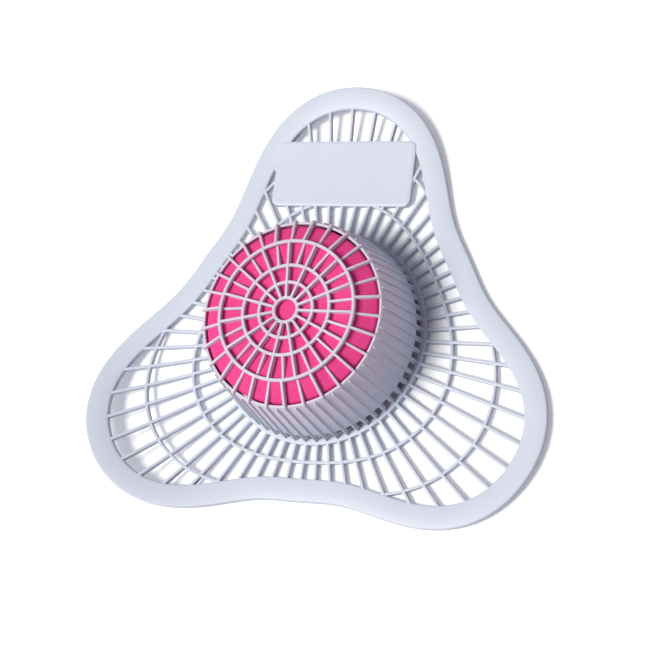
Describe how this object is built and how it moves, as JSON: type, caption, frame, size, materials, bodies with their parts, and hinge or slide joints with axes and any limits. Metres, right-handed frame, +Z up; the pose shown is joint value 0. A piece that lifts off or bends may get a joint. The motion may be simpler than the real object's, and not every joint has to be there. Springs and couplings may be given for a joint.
{
  "type": "urinal deodorizer screen",
  "caption": "Soft three-lobed mat of fine ribs with a wide flat rim, a blank label plate and a drum-shaped cage in the middle that holds a round scented block over a drain.",
  "frame": {"origin": "middle of the part's bounding box in plan, on the floor plane under the mat", "axes": "+Z up along the drum, +Y to the lobe that carries the label plate, +X to the right seen from above"},
  "size_m": [0.1908, 0.176, 0.0391],
  "materials": {
    "soft_plastic": "smooth flexible moulded plastic, slightly bluish white, soft sheen",
    "scented_block": "pressed fine-grained solid, bright pink, dry and matt"
  },
  "bodies": {
    "root": {"screen": "soft_plastic", "deodorizer_block": "scented_block"}
  },
  "joints": []
}
